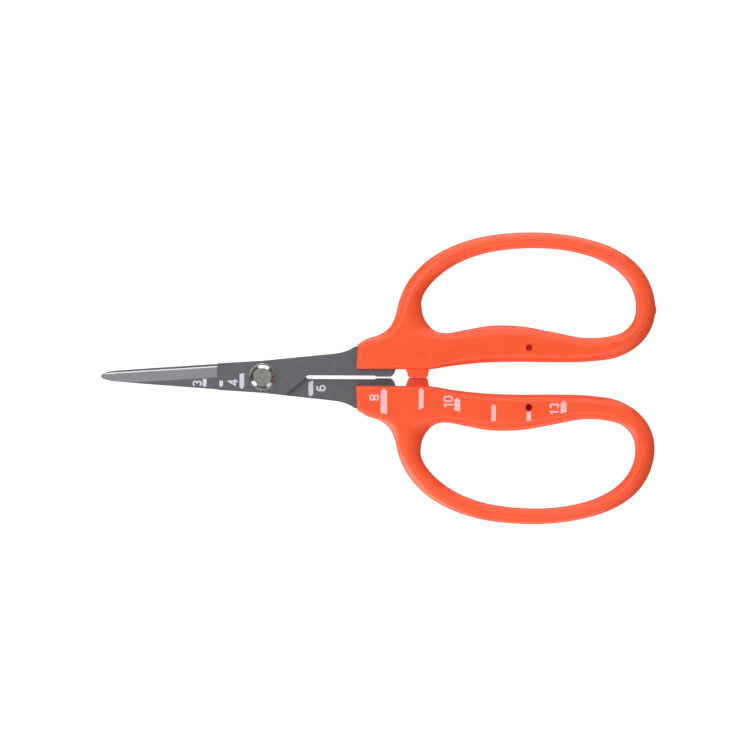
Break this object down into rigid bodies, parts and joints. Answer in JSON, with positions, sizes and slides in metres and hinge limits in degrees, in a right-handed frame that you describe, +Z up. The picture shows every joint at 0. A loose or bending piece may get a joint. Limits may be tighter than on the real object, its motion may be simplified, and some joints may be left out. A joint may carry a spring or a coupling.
{
  "type": "floral snips",
  "caption": "Hand snips for flowers and fruit, with narrow straight blades on a riveted pivot, a printed centimetre scale and closed moulded finger loops.",
  "frame": {"origin": "on the plane that the handles' undersides rest on, below the middle of the closed snips' bounding box", "axes": "+X along the snips from the blade tips to the handles, +Y from the lower handle to the upper handle, +Z up through the pivot, away from the resting plane"},
  "size_m": [0.155, 0.0816, 0.009],
  "materials": {
    "blade_steel": "dark grey hard-coated stainless steel, satin, with a lighter ground bevel",
    "handle_plastic": "orange-red moulded elastomer-like plastic, satin",
    "pivot_steel": "turned steel with a polished cone and a flat ground face",
    "washer_chrome": "thin polished washer",
    "steel_ink": "pale lilac-white printed ink",
    "handle_ink": "pale pink-white printed ink"
  },
  "bodies": {
    "lower_half": {"back_blade": "blade_steel", "lower_handle": "handle_plastic", "pivot_rivet": "pivot_steel", "front_washer": "washer_chrome", "back_washer": "washer_chrome", "back_collar": "pivot_steel", "shank_scale": "steel_ink", "handle_scale": "handle_ink"},
    "upper_half": {"front_blade": "blade_steel", "upper_handle": "handle_plastic", "blade_scale": "steel_ink"}
  },
  "joints": [
    {"name": "pivot_hinge", "type": "hinge", "parent": "lower_half", "child": "upper_half", "pos_m": [-0.03232, 0, 0.0045], "axis": [0, 0, 1], "range_deg": [0, 147]}
  ]
}
